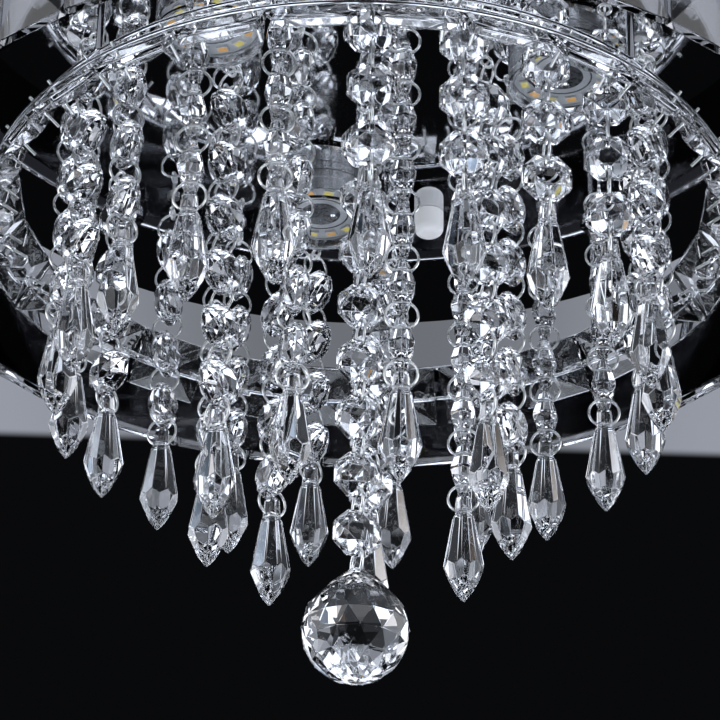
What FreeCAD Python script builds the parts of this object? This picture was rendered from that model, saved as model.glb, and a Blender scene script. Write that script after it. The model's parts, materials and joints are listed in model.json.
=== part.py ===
import FreeCAD, Part
import math
import os
import Sketcher

# Crystal flush mount ceiling light: a mirror-polished base pan with two rings of
# cut-glass blocks under it, three LED spots, and three tiers of hanging crystal strands.
# Millimetres, +Z up. The origin is on the ceiling plane, on the lamp's axis.
# Angles run from the front, -Y, towards +X.

SIZES = [
    ("pan_radius", 143.5, "base pan, to the outside of its rim"),
    ("pan_lip", 24.4, "height of the pan's straight rim"),
    ("pan_sag", 0.8, "how far the domed floor hangs below the rim"),
    ("pan_wall", 1.0, "thickness of the pan's sheet steel"),
    ("seat_gap", 0.15, "gap between pieces that seat on each other"),
    ("stud_circle", 74.0, "radius at which the two fixing studs stand"),
    ("stud_angle", 163.0, "angle of the first fixing stud"),
    ("stud_radius", 2.0, "fixing stud"),
    ("stud_reach", 5.0, "how far a stud stands out below the pan"),
    ("stud_clearance", 0.3, "gap round a stud in its hole"),
    ("cap_radius", 4.75, "white cap nut"),
    ("cap_height", 8.2, "white cap nut"),
    ("cap_round", 2.6, "rounding of the cap nut's end"),
    ("bracket_end", 10.0, "ceiling bracket past its studs"),
    ("bracket_width", 24.0, "ceiling bracket"),
    ("bracket_thickness", 1.5, "ceiling bracket"),
    ("ceiling_hole_circle", 35.0, "radius of the ceiling screw holes"),
    ("ceiling_hole_radius", 2.5, "ceiling screw hole"),
    ("driver_length", 78.0, "LED driver"),
    ("driver_width", 40.0, "LED driver"),
    ("driver_height", 13.5, "LED driver"),
    ("driver_round", 2.0, "rounded edges of the driver"),
    ("terminal_length", 26.0, "mains terminal block"),
    ("terminal_width", 14.0, "mains terminal block"),
    ("terminal_height", 8.0, "mains terminal block"),
    ("terminal_bore", 1.8, "wire hole of the terminal block"),
    ("terminal_poles", 3, "poles of the terminal block"),
    ("led_count", 3, "LED spots"),
    ("led_circle", 62.5, "radius at which the LED spots stand"),
    ("led_angle", 72.5, "angle of the first LED spot"),
    ("led_radius", 16.2, "LED spot housing"),
    ("led_height", 7.0, "LED spot housing"),
    ("led_wall", 1.2, "wall of the housing at its mouth"),
    ("led_top", 1.2, "closed end of the housing"),
    ("led_ledge", 1.2, "width of the ledge that the board rests on"),
    ("led_ledge_height", 2.6, "the ledge above the housing's mouth"),
    ("led_groove", 0.4, "groove round the housing, width and depth"),
    ("led_groove_drop", 2.6, "groove below the closed end of the housing"),
    ("board_thickness", 1.6, "LED board"),
    ("chip_pairs", 6, "pairs of one cool and one warm LED on a board"),
    ("chip_circle", 11.6, "radius of the circle of LEDs"),
    ("chip_length", 3.5, "LED package, along the circle"),
    ("chip_width", 2.8, "LED package, across the circle"),
    ("chip_height", 0.8, "LED package"),
    ("lens_height", 3.8, "clear lens under the housing"),
    ("lens_plate", 1.5, "face of the lens"),
    ("lens_rim", 1.6, "wall of the lens"),
    ("inner_count", 26, "glass blocks of the inner ring"),
    ("inner_radius", 100.0, "inner ring, inside of its upper edge"),
    ("inner_drop", 68.2, "inner ring's upper edge below the ceiling"),
    ("inner_tilt", 36.0, "how far the inner ring's blocks flare outwards"),
    ("inner_block_height", 18.5, "inner ring's glass block, along its slope"),
    ("inner_block_depth", 6.0, "inner ring's glass block"),
    ("inner_cut_depth", 3.4, "height of the low pyramid cut on the block's face"),
    ("block_gap", 0.6, "smallest gap between neighbouring blocks"),
    ("block_table", 0.12, "flat top of a block's pyramid, as a share of the block's size"),
    ("pin_inset", 3.4, "wire pin from the end of its block"),
    ("pin_radius", 0.45, "wire pin"),
    ("pin_poke", 3.0, "length of a pin standing out on each side"),
    ("pin_clearance", 0.25, "gap round a pin in its hole"),
    ("hoop_radius", 0.6, "wire of the inner ring's two hoops; the lower one carries the pins"),
    ("hoop_inset", 0.8, "upper hoop from the upper edge of the blocks"),
    ("upright_count", 4, "uprights that carry the inner ring"),
    ("upright_angle", 45.0, "angle of the first upright"),
    ("upright_radius", 1.2, "upright"),
    ("foot_radius", 4.0, "foot of an upright"),
    ("foot_thickness", 1.5, "foot of an upright"),
    ("outer_count", 36, "glass blocks of the outer ring"),
    ("outer_radius", 138.8, "outer ring band, inside"),
    ("outer_bottom", 79.5, "lower edge of the band below the ceiling"),
    ("outer_height", 32.0, "outer ring band"),
    ("outer_wall", 1.2, "thickness of the band"),
    ("outer_flange", 4.4, "flange at the band's upper edge"),
    ("outer_block_height", 32.0, "outer ring's glass block"),
    ("outer_block_depth", 6.4, "outer ring's glass block"),
    ("outer_cut_depth", 3.6, "height of the low pyramid cut on the block's face"),
    ("outer_block_hang", 1.4, "blocks below the lower edge of the band"),
    ("post_count", 4, "posts that carry the outer ring"),
    ("post_angle", 45.0, "angle of the first post"),
    ("post_radius", 1.9, "post"),
    ("post_inset", 6.9, "upper end of a post, in from the outside of the pan"),
    ("outer_strands", 21, "strands of the outer tier"),
    ("outer_circle", 88.0, "radius of the outer tier"),
    ("outer_phase", 1.3, "angle of the outer tier's first strand"),
    ("outer_beads", 4, "beads of an outer strand"),
    ("middle_strands", 9, "strands of the middle tier"),
    ("middle_circle", 44.6, "radius of the middle tier"),
    ("middle_phase", 15.0, "angle of the middle tier's first strand"),
    ("middle_beads", 6, "beads of a middle strand"),
    ("centre_beads", 8, "beads of the strand on the axis"),
    ("hook_collar_radius", 2.0, "collar of a strand's hook"),
    ("hook_collar_height", 0.8, "collar of a strand's hook"),
    ("hook_stem", 3.9, "stem of a hook between collar and eye"),
    ("hook_wire", 0.5, "radius of the hook's wire"),
    ("hook_eye", 1.3, "inside radius of the hook's eye"),
    ("link_gap", 0.3, "gap between a ring and the hook that it hangs in"),
    ("ring_radius", 4.65, "jump ring, to the middle of its wire"),
    ("ring_wire", 0.4, "radius of the jump ring's wire"),
    ("ring_gap", 0.12, "gap between a ring and the hole that it hangs in"),
    ("bead_hole", 0.9, "radius of the holes in the glass"),
    ("bead_pitch", 10.2, "from hole to hole of a bead"),
    ("octagon_width", 14.0, "octagon bead, across its flats"),
    ("octagon_table", 7.6, "flat face of the octagon bead"),
    ("octagon_thickness", 7.2, "octagon bead"),
    ("octagon_girdle", 1.8, "thickness at the rim of the octagon bead"),
    ("spindle_length", 17.6, "long spindle bead"),
    ("spindle_width", 7.4, "spindle bead, across its flats"),
    ("spindle_tip", 3.2, "spindle bead at its ends"),
    ("drop_neck", 5.8, "drop, from its hole to its top"),
    ("drop_neck_top", 4.4, "width of the neck at the top"),
    ("drop_neck_foot", 5.2, "width of the neck at the shoulder"),
    ("drop_neck_depth", 3.9, "thickness of the neck"),
    ("drop_shoulder", 1.6, "shoulder of the drop below its hole"),
    ("drop_shoulder_width", 6.0, "drop at its shoulder, across its flats"),
    ("drop_width", 11.6, "drop at its widest, across its flats"),
    ("drop_belly", 18.6, "widest place of the drop below its hole"),
    ("drop_point", 29.8, "point of the drop below its hole"),
    ("ball_radius", 15.0, "faceted ball"),
    ("ball_neck_radius", 2.3, "neck of the ball"),
    ("ball_neck_foot", 15.2, "foot of the neck above the middle of the ball"),
    ("ball_neck_top", 18.8, "top of the neck above the middle of the ball"),
    ("ball_hole_height", 16.8, "hole above the middle of the ball"),
]

# Which strands are threaded with spindle beads, and how far each strand is turned on its hook.
OUTER_SPINDLES = (7, 8, 19, 20)
MIDDLE_SPINDLES = (0, 3)
OUTER_TURNS = (4, -6, 8, -4, 52, 68, 40, 88, 80, 35, 62, -48, -66, 74, -38, -58, -72, -46, -62, 84, 96)
MIDDLE_TURNS = (90, 24, 60, 82, -30, -55, 70, 48, -76)
CENTRE_TURN = 18

# Latitudes, in degrees, of the rows of corners on the faceted ball.
BALL_ROWS = (64, 40, 15, -11, -37, -62)

# Where a sketch's corners lie, in millimetres, before its formulas place them.
SKETCH_MIDDLE = 30
SKETCH_SPREAD = 10

UP = FreeCAD.Vector(0, 0, 1)
ORIGIN = FreeCAD.Vector(0, 0, 0)

doc = FreeCAD.newDocument("crystal_ceiling_light")
sheet = doc.addObject("Spreadsheet::Sheet", "Sizes")
for row, (alias, value, note) in enumerate(SIZES, start=1):
    sheet.set("A%d" % row, note)
    sheet.set("B%d" % row, str(value))
    sheet.setAlias("B%d" % row, alias)
doc.recompute()


def size(alias):
    return float(sheet.get(alias))


def count(alias):
    return int(round(size(alias)))


def bind(piece, **formulas):
    """Tie properties of a piece to formulas on the sheet; height places the piece along Z."""
    for name, formula in formulas.items():
        path = "Placement.Base.z" if name == "height" else name
        piece.setExpression(path, formula)
    return piece


def primitive(kind, name, **formulas):
    return bind(doc.addObject("Part::" + kind, name), **formulas)


def boolean(kind, name, base, tool):
    result = doc.addObject("Part::" + kind, name)
    result.Base = base
    result.Tool = tool
    return result


def draw(sketch, corners):
    """A closed outline through corners, each given as two formulas; 0 lies on the axis."""
    total = len(corners)
    start = []
    for index in range(total):
        turn = 2 * math.pi * index / total
        start.append(FreeCAD.Vector(SKETCH_MIDDLE + SKETCH_SPREAD * math.cos(turn),
                                    SKETCH_MIDDLE + SKETCH_SPREAD * math.sin(turn), 0))
    for index in range(total):
        sketch.addGeometry(Part.LineSegment(start[index], start[(index + 1) % total]), False)
    for index in range(total):
        sketch.addConstraint(Sketcher.Constraint("Coincident", index, 2, (index + 1) % total, 1))
    for index, corner in enumerate(corners):
        for kind, axis, formula, place in (
            ("DistanceX", -2, corner[0], start[index].x),
            ("DistanceY", -1, corner[1], start[index].y),
        ):
            if formula == 0:
                sketch.addConstraint(Sketcher.Constraint("PointOnObject", index, 1, axis))
                continue
            number = sketch.addConstraint(Sketcher.Constraint(kind, -1, 1, index, 1, place))
            sketch.renameConstraint(number, "%s_%d" % (kind.lower(), index))
            sketch.setExpression("Constraints.%s_%d" % (kind.lower(), index), formula)


def sketch_on(body, name, role):
    sketch = body.newObject("Sketcher::SketchObject", name)
    plane = [item for item in body.Origin.OriginFeatures if item.Role == role][0]
    sketch.AttachmentSupport = [(plane, "")]
    sketch.MapMode = "FlatFace"
    return sketch


def turned(name, corners):
    """A body turned about Z from an outline of radius and height formulas."""
    body = doc.addObject("PartDesign::Body", name)
    sketch = sketch_on(body, name + "_outline", "XZ_Plane")
    draw(sketch, corners)
    turn = body.newObject("PartDesign::Revolution", name + "_turn")
    turn.Profile = sketch
    turn.ReferenceAxis = (sketch, ["V_Axis"])
    turn.Angle = 360
    return body


def group(label, shapes):
    """Separate solids that share one node."""
    piece = doc.addObject("Part::Feature", label)
    piece.Shape = shapes[0] if len(shapes) == 1 else Part.makeCompound(shapes)
    return piece


def around(shape, total, first=0.0):
    """Copies of a shape that stands at the front, spaced evenly round the lamp's axis."""
    copies = []
    for index in range(total):
        copies.append(shape.rotated(ORIGIN, UP, first + 360.0 * index / total))
    return copies


def moved(shape, x, y, z):
    return shape.translated(FreeCAD.Vector(x, y, z))


def pan_floor_radius():
    return (size("pan_radius") ** 2 + size("pan_sag") ** 2) / (2 * size("pan_sag"))


def pan_under(radius):
    """Height of the pan's underside at a distance from the axis."""
    floor = pan_floor_radius()
    return -size("pan_lip") - size("pan_sag") + floor - math.sqrt(floor ** 2 - radius ** 2)


def flat_seat(radius, half_width):
    """Height of a level face that just clears the pan's domed underside."""
    return pan_under(max(radius - half_width, 0.0)) - size("seat_gap")


def polygon(sides, across, vertex_up=False):
    """Corners of a regular polygon, given its width across flats."""
    reach = across / 2 / math.cos(math.pi / sides)
    offset = 0.0 if vertex_up else 0.5
    corners = []
    for index in range(sides):
        turn = 2 * math.pi * (index + offset) / sides
        corners.append((reach * math.cos(turn), reach * math.sin(turn)))
    return corners


def faceted(faces):
    """A cut-glass solid from its flat facets."""
    flats = []
    for corners in faces:
        flats.append(Part.Face(Part.makePolygon(list(corners) + [corners[0]])))
    solid = Part.makeSolid(Part.makeShell(flats))
    if solid.Volume < 0:
        solid.reverse()
    return solid


def stacked(rings):
    """A solid whose facets join rings of corners, all with the same number of corners."""
    faces = [rings[0], rings[-1]]
    for upper, lower in zip(rings, rings[1:]):
        total = len(upper)
        for index in range(total):
            after = (index + 1) % total
            faces.append([upper[index], upper[after], lower[after], lower[index]])
    return faceted(faces)


def drilled(solid, heights):
    """Cuts the holes that jump rings pass through, along Y."""
    reach = size("ball_radius")
    for height in heights:
        foot = FreeCAD.Vector(0, -reach, height)
        solid = solid.cut(Part.makeCylinder(size("bead_hole"), 2 * reach, foot, FreeCAD.Vector(0, 1, 0)))
    return solid


# Base pan: a shallow dish of sheet steel with a straight rim and a slightly domed floor.

def base_pan():
    floor = "(Sizes.pan_radius^2 + Sizes.pan_sag^2) / (2 * Sizes.pan_sag)"
    bottom = "-Sizes.pan_lip - Sizes.pan_sag"
    rim = primitive("Cylinder", "pan_rim", Radius="Sizes.pan_radius",
                    Height="Sizes.pan_lip + Sizes.pan_sag", height=bottom)
    dome = primitive("Sphere", "pan_dome", Radius=floor, height=bottom + " + " + floor)
    well = primitive("Cylinder", "pan_well", Radius="Sizes.pan_radius - Sizes.pan_wall",
                     Height="Sizes.pan_lip + Sizes.pan_sag + Sizes.pan_wall", height=bottom)
    hollow = primitive("Sphere", "pan_hollow", Radius=floor + " - Sizes.pan_wall",
                       height=bottom + " + " + floor)
    outside = boolean("Common", "pan_outside", rim, dome)
    inside = boolean("Common", "pan_inside", well, hollow)
    pan = boolean("Cut", "pan_shell", outside, inside)
    for index in range(2):
        hole = primitive("Cylinder", "pan_stud_hole_%d" % index, height=bottom,
                         Radius="Sizes.stud_radius + Sizes.stud_clearance",
                         Height="Sizes.pan_lip + Sizes.pan_sag")
        turn = "(Sizes.stud_angle + %d) * 1 deg" % (180 * index)
        hole.setExpression("Placement.Base.x", "Sizes.stud_circle * sin(%s)" % turn)
        hole.setExpression("Placement.Base.y", "-Sizes.stud_circle * cos(%s)" % turn)
        pan = boolean("Cut", "pan_with_hole_%d" % index, pan, hole)
    pan.Label = "base_pan"


# Ceiling bracket: a steel strip with two ceiling screw holes, and the studs welded to it.

def mounting_bracket():
    body = doc.addObject("PartDesign::Body", "mounting_bracket")
    strip = body.newObject("PartDesign::AdditiveBox", "bracket_strip")
    bind(strip, Length="Sizes.bracket_width", Width="2 * (Sizes.stud_circle + Sizes.bracket_end)",
         Height="Sizes.bracket_thickness")
    strip.setExpression("Placement.Base.x", "-Sizes.bracket_width / 2")
    strip.setExpression("Placement.Base.y", "-Sizes.stud_circle - Sizes.bracket_end")
    for index, side in enumerate(("", "-")):
        hole = body.newObject("PartDesign::SubtractiveCylinder", "bracket_hole_%d" % index)
        bind(hole, Radius="Sizes.ceiling_hole_radius", Height="Sizes.bracket_thickness")
        hole.setExpression("Placement.Base.y", side + "Sizes.ceiling_hole_circle")
    body.setExpression("Placement.Base.z", "-Sizes.bracket_thickness")
    body.Placement.Rotation = FreeCAD.Rotation(UP, size("stud_angle"))


def fixing_studs():
    top = -size("bracket_thickness")
    bottom = pan_under(size("stud_circle")) - size("stud_reach")
    stud = Part.makeCylinder(size("stud_radius"), top - bottom)
    stud = moved(stud, 0, -size("stud_circle"), bottom)
    group("fixing_studs", around(stud, 2, size("stud_angle")))


def stud_caps():
    bore = "Sizes.stud_radius + Sizes.stud_clearance"
    bottom = "Sizes.cap_height - Sizes.stud_reach - Sizes.stud_clearance"
    cap = turned("cap_nut", [
        (bore, "Sizes.cap_height"), ("Sizes.cap_radius", "Sizes.cap_height"),
        ("Sizes.cap_radius", 0), (0, 0), (0, bottom), (bore, bottom),
    ])
    doc.recompute()
    blank = cap.Tip
    rim = []
    for index, edge in enumerate(blank.Shape.Edges, start=1):
        box = edge.BoundBox
        if box.ZMax < size("seat_gap") and box.XMax > size("cap_radius") - size("seat_gap") and edge.Closed:
            rim.append("Edge%d" % index)
    rounding = cap.newObject("PartDesign::Fillet", "cap_rounding")
    rounding.Base = (blank, rim)
    bind(rounding, Radius="Sizes.cap_round")
    cap.Tip = rounding
    doc.recompute()
    seat = flat_seat(size("stud_circle"), size("cap_radius")) - size("cap_height")
    group("stud_caps", around(moved(cap.Shape, 0, -size("stud_circle"), seat), 2, size("stud_angle")))


def led_driver():
    body = doc.addObject("PartDesign::Body", "led_driver")
    case = body.newObject("PartDesign::AdditiveBox", "driver_case")
    bind(case, Length="Sizes.driver_length", Width="Sizes.driver_width", Height="Sizes.driver_height")
    case.setExpression("Placement.Base.x", "-Sizes.driver_length / 2")
    case.setExpression("Placement.Base.y", "-Sizes.driver_width / 2")
    doc.recompute()
    upright = []
    for index, edge in enumerate(case.Shape.Edges, start=1):
        if edge.BoundBox.ZLength > size("driver_height") / 2:
            upright.append("Edge%d" % index)
    rounding = body.newObject("PartDesign::Fillet", "driver_rounding")
    rounding.Base = (case, upright)
    bind(rounding, Radius="Sizes.driver_round")
    body.Tip = rounding
    corner = math.hypot(size("driver_length") / 2, size("driver_width") / 2)
    body.Placement.Base.z = pan_under(corner) + size("pan_wall") + 2 * size("seat_gap")


def terminal_block():
    length, width, height = size("terminal_length"), size("terminal_width"), size("terminal_height")
    block = Part.makeBox(length, width, height, FreeCAD.Vector(-length / 2, -width / 2, -height))
    poles = count("terminal_poles")
    for index in range(poles):
        x = length * ((index + 0.5) / poles - 0.5)
        foot = FreeCAD.Vector(x, -width / 2, -height / 2)
        block = block.cut(Part.makeCylinder(size("terminal_bore"), width, foot, FreeCAD.Vector(0, 1, 0)))
    block = block.rotated(ORIGIN, UP, 90 + size("stud_angle"))
    group("terminal_block", [moved(block, 0, 0, -size("bracket_thickness"))])


# LED spots: a chrome cup, a board on the ledge inside it, two colours of LED, and a clear lens.

def on_led_spots(shapes):
    """Places copies of shapes, drawn below a level face, under the pan at each LED spot."""
    lean = math.degrees(math.asin(size("led_circle") / pan_floor_radius()))
    seat = pan_under(size("led_circle")) - size("seat_gap")
    placed = []
    for shape in shapes:
        leaned = shape.rotated(ORIGIN, FreeCAD.Vector(1, 0, 0), -lean)
        front = moved(leaned, 0, -size("led_circle"), seat)
        placed.extend(around(front, count("led_count"), size("led_angle")))
    return placed


def led_spots():
    mouth = "Sizes.led_radius - Sizes.led_wall"
    ledge = mouth + " - Sizes.led_ledge"
    ceiling = "Sizes.led_height - Sizes.led_top"
    groove = "Sizes.led_height - Sizes.led_groove_drop"
    groove_foot = groove + " - Sizes.led_groove"
    groove_floor = "Sizes.led_radius - Sizes.led_groove"
    cup = turned("led_cup", [
        (0, "Sizes.led_height"), ("Sizes.led_radius", "Sizes.led_height"), ("Sizes.led_radius", groove),
        (groove_floor, groove), (groove_floor, groove_foot), ("Sizes.led_radius", groove_foot),
        ("Sizes.led_radius", 0), (mouth, 0),
        (mouth, "Sizes.led_ledge_height"), (ledge, "Sizes.led_ledge_height"), (ledge, ceiling), (0, ceiling),
    ])
    lens_bore = "Sizes.led_radius - Sizes.lens_rim"
    lens = turned("led_lens", [
        (0, 0), ("Sizes.led_radius", 0), ("Sizes.led_radius", "Sizes.lens_height"),
        (lens_bore, "Sizes.lens_height"), (lens_bore, "Sizes.lens_plate"), (0, "Sizes.lens_plate"),
    ])
    doc.recompute()
    height = size("led_height")
    group("led_housings", on_led_spots([moved(cup.Shape, 0, 0, -height)]))
    group("led_lenses", on_led_spots([moved(lens.Shape, 0, 0, -height - size("lens_height"))]))
    radius = size("led_radius") - size("led_wall") - size("seat_gap")
    board_under = size("led_ledge_height") - size("board_thickness") - height
    board = Part.makeCylinder(radius, size("board_thickness"), FreeCAD.Vector(0, 0, board_under))
    group("led_boards", on_led_spots([board]))
    length, width = size("chip_length"), size("chip_width")
    corner = FreeCAD.Vector(-length / 2, -size("chip_circle") - width / 2, board_under - size("chip_height"))
    chip = Part.makeBox(length, width, size("chip_height"), corner)
    pairs = count("chip_pairs")
    group("led_chips_cool", on_led_spots(around(chip, pairs)))
    group("led_chips_warm", on_led_spots(around(chip, pairs, 180.0 / pairs)))


# Inner ring: flared glass blocks that hang by their pins on wire hoops, on four uprights.

def cut_block(length, height, depth, cut_depth):
    """A glass block with its back on the XY plane and a low pyramid on its face towards +Z."""
    rings = []
    for share, z in ((1, 0), (1, depth - cut_depth), (size("block_table"), depth)):
        x, y = share * length / 2, share * height / 2
        rings.append([FreeCAD.Vector(*corner, z) for corner in ((x, y), (-x, y), (-x, -y), (x, -y))])
    return stacked(rings)


def inner_block_length():
    return 2 * size("inner_radius") * math.tan(math.pi / size("inner_count")) - size("block_gap")


def inner_slope():
    """Placement that lays a block's middle on the front of the inner ring, cut face inwards."""
    tilt = math.radians(size("inner_tilt"))
    half = size("inner_block_height") / 2
    middle = FreeCAD.Vector(0, -size("inner_radius") - half * math.sin(tilt),
                            -size("inner_drop") - half * math.cos(tilt))
    turn = FreeCAD.Rotation(FreeCAD.Vector(1, 0, 0), -90 - size("inner_tilt"))
    return FreeCAD.Placement(middle, turn)


def on_slope(shape):
    copy = shape.copy()
    copy.Placement = inner_slope().multiply(copy.Placement)
    return copy


def inner_ring():
    depth = size("inner_block_depth")
    length = inner_block_length()
    block = cut_block(length, size("inner_block_height"), depth, size("inner_cut_depth"))
    block = moved(block, 0, 0, -depth)
    pins = []
    for side in (-1, 1):
        foot = FreeCAD.Vector(side * (length / 2 - size("pin_inset")), 0, -depth - size("pin_poke"))
        reach = depth + 2 * size("pin_poke")
        block = block.cut(Part.makeCylinder(size("pin_radius") + size("pin_clearance"), reach, foot))
        pins.append(Part.makeCylinder(size("pin_radius"), reach, foot))
    total = count("inner_count")
    group("inner_ring_crystals", around(on_slope(block), total, 180.0 / total))
    group("inner_ring_pins", [copy for pin in pins for copy in around(on_slope(pin), total, 180.0 / total)])
    inner_ring_frame(length, depth)


def inner_ring_frame(length, depth):
    wire = size("hoop_radius")
    tilt = math.radians(size("inner_tilt"))
    bulge = (length / 2) ** 2 / (2 * size("inner_radius")) * math.cos(tilt)
    behind = depth + wire + bulge + size("seat_gap")
    hoops = []
    under_pins = size("inner_block_height") / 2 + size("pin_radius") + wire + 2 * size("pin_clearance")
    for along in (size("hoop_inset"), under_pins):
        radius = size("inner_radius") + along * math.sin(tilt) + behind * math.cos(tilt)
        height = -size("inner_drop") - along * math.cos(tilt) + behind * math.sin(tilt)
        hoops.append((radius, height))
    upper, lower = hoops
    seat = flat_seat(upper[0], size("foot_radius"))
    start = FreeCAD.Vector(0, -upper[0], upper[1])
    upright = Part.makeCylinder(size("upright_radius"), seat - upper[1], start)
    foot_base = FreeCAD.Vector(0, -upper[0], seat - size("foot_thickness"))
    foot = Part.makeCylinder(size("foot_radius"), size("foot_thickness"), foot_base)
    run = FreeCAD.Vector(0, -lower[0], lower[1]) - start
    tie = Part.makeCylinder(wire, run.Length, start, run)
    members = []
    for piece in (upright, foot, tie):
        members.extend(around(piece, count("upright_count"), size("upright_angle")))
    frame = Part.makeTorus(upper[0], wire, FreeCAD.Vector(0, 0, upper[1]))
    members.append(Part.makeTorus(lower[0], wire, FreeCAD.Vector(0, 0, lower[1])))
    group("inner_ring_frame", [frame.fuse(members).removeSplitter()])


# Outer ring: a mirror band with an inward flange, glass blocks on its outside, and four posts.

def outer_ring():
    inside = "Sizes.outer_radius"
    outside = "Sizes.outer_radius + Sizes.outer_wall"
    lip = "Sizes.outer_radius - Sizes.outer_flange"
    under = "Sizes.outer_height - Sizes.outer_wall"
    band = turned("outer_ring_band", [
        (inside, 0), (outside, 0), (outside, "Sizes.outer_height"),
        (lip, "Sizes.outer_height"), (lip, under), (inside, under),
    ])
    bind(band, height="-Sizes.outer_bottom")
    back = size("outer_radius") + size("outer_wall") + size("seat_gap")
    length = 2 * back * math.tan(math.pi / size("outer_count")) - size("block_gap")
    height = size("outer_block_height")
    block = cut_block(length, height, size("outer_block_depth"), size("outer_cut_depth"))
    block = block.rotated(ORIGIN, FreeCAD.Vector(1, 0, 0), 90)
    middle = -size("outer_bottom") - size("outer_block_hang") + height / 2
    group("outer_ring_crystals", around(moved(block, 0, -back, middle), count("outer_count")))
    circle = size("outer_radius") - size("outer_flange") / 2
    foot = size("outer_height") - size("outer_bottom")
    pan_circle = size("pan_radius") - size("post_inset")
    top = flat_seat(pan_circle, size("post_radius"))
    end = Part.Face(Part.Wire(Part.makeCircle(size("post_radius"), FreeCAD.Vector(0, -circle, foot))))
    post = end.extrude(FreeCAD.Vector(0, circle - pan_circle, top - foot))
    group("outer_ring_posts", around(post, count("post_count"), size("post_angle")))


# Strands: beads, a drop and a ball of cut glass, joined by jump rings.

def octagon_bead():
    rings = []
    table, girdle = size("octagon_thickness") / 2, size("octagon_girdle") / 2
    for across, y in (
        (size("octagon_table"), table), (size("octagon_width"), girdle),
        (size("octagon_width"), -girdle), (size("octagon_table"), -table),
    ):
        rings.append([FreeCAD.Vector(x, y, z) for x, z in polygon(8, across)])
    return drilled(stacked(rings), (size("bead_pitch") / 2, -size("bead_pitch") / 2))


def spindle_bead():
    rings = []
    for across, z in ((size("spindle_tip"), 0.5), (size("spindle_width"), 0.0), (size("spindle_tip"), -0.5)):
        height = z * size("spindle_length")
        rings.append([FreeCAD.Vector(x, y, height) for x, y in polygon(6, across, vertex_up=True)])
    return drilled(stacked(rings), (size("bead_pitch") / 2, -size("bead_pitch") / 2))


def drop():
    """A long drop: eight facets that widen to the belly and meet eight kites that close at the point."""
    sides = 8
    narrowing = math.cos(math.pi / sides)
    top, belly, point = -size("drop_shoulder"), -size("drop_belly"), -size("drop_point")
    upper_slope = (size("drop_width") - size("drop_shoulder_width")) / 2 / (top - belly)
    lower_slope = size("drop_width") / 2 / (belly - point)

    def meet(share):
        """Height and width where a facet above meets a kite below, at a share of the facet's width."""
        height = (size("drop_shoulder_width") / 2 + upper_slope * top + share * lower_slope * point)
        height /= upper_slope + share * lower_slope
        return height, lower_slope * (height - point)

    crest, crest_reach = meet(narrowing)
    valley, valley_reach = meet(1 / narrowing)
    shoulder, crests, valleys = [], [], []
    for index in range(sides):
        turn = 2 * math.pi * index / sides
        edge = FreeCAD.Vector(math.cos(turn), math.sin(turn), 0)
        flat = FreeCAD.Vector(math.cos(turn + math.pi / sides), math.sin(turn + math.pi / sides), 0)
        shoulder.append(edge * (size("drop_shoulder_width") / 2 / narrowing) + UP * top)
        crests.append(edge * crest_reach + UP * crest)
        valleys.append(flat * (valley_reach / narrowing) + UP * valley)
    faces = [shoulder]
    for index in range(sides):
        after = (index + 1) % sides
        faces.append([shoulder[index], shoulder[after], crests[after], valleys[index], crests[index]])
        faces.append([crests[index], valleys[index], UP * point, valleys[index - 1]])
    neck = []
    for width, z in ((size("drop_neck_top"), size("drop_neck")), (size("drop_neck_foot"), top)):
        x, y = width / 2, size("drop_neck_depth") / 2
        neck.append([FreeCAD.Vector(*corner, z) for corner in ((x, y), (-x, y), (-x, -y), (x, -y))])
    return drilled(faceted(faces).fuse(stacked(neck)).removeSplitter(), (0.0,))


def ball():
    """A ball cut in rows of triangles, with a short neck above and a low pointed crown below."""
    sides = 12
    rows = []
    for row, latitude in enumerate(BALL_ROWS):
        level = math.radians(latitude)
        reach = size("ball_radius") * math.cos(level)
        corners = []
        for index in range(sides):
            turn = 2 * math.pi * (index + 0.5 * (row % 2)) / sides
            corners.append(FreeCAD.Vector(reach * math.cos(turn), reach * math.sin(turn),
                                          size("ball_radius") * math.sin(level)))
        rows.append(corners)
    necks = []
    for height in (size("ball_neck_top"), size("ball_neck_foot")):
        corners = []
        for index in range(sides):
            turn = 2 * math.pi * index / sides
            corners.append(FreeCAD.Vector(size("ball_neck_radius") * math.cos(turn),
                                          size("ball_neck_radius") * math.sin(turn), height))
        necks.append(corners)
    point = UP * -size("ball_radius")
    faces = [necks[0]]
    for index in range(sides):
        after = (index + 1) % sides
        faces.append([necks[0][index], necks[0][after], necks[1][after], necks[1][index]])
        faces.append([necks[1][index], necks[1][after], rows[0][after], rows[0][index]])
        faces.append([rows[-1][index], rows[-1][after], point])
    for row, (upper, lower) in enumerate(zip(rows, rows[1:])):
        for index in range(sides):
            after = (index + 1) % sides
            if row % 2 == 0:
                faces.append([upper[index], upper[after], lower[index]])
                faces.append([upper[after], lower[index], lower[after]])
            else:
                faces.append([upper[index], upper[after], lower[after]])
                faces.append([upper[index], lower[index], lower[after]])
    return drilled(faceted(faces), (size("ball_hole_height"),))


def ring_seat(half_thickness):
    """How far a hole's middle stands from the ring's wire, so that the wire clears the hole's ends."""
    rise = size("ring_radius") - math.sqrt(size("ring_radius") ** 2 - half_thickness ** 2)
    return rise + size("ring_wire") + size("ring_gap") - size("bead_hole")


def octagon_half_thickness():
    table, rim = size("octagon_table") / 2, size("octagon_width") / 2
    share = (size("bead_pitch") / 2 - table) / (rim - table)
    thick, thin = size("octagon_thickness") / 2, size("octagon_girdle") / 2
    return thick + (thin - thick) * share


def spindle_half_thickness():
    share = size("bead_pitch") / size("spindle_length")
    return (size("spindle_width") + (size("spindle_tip") - size("spindle_width")) * share) / 2


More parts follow.
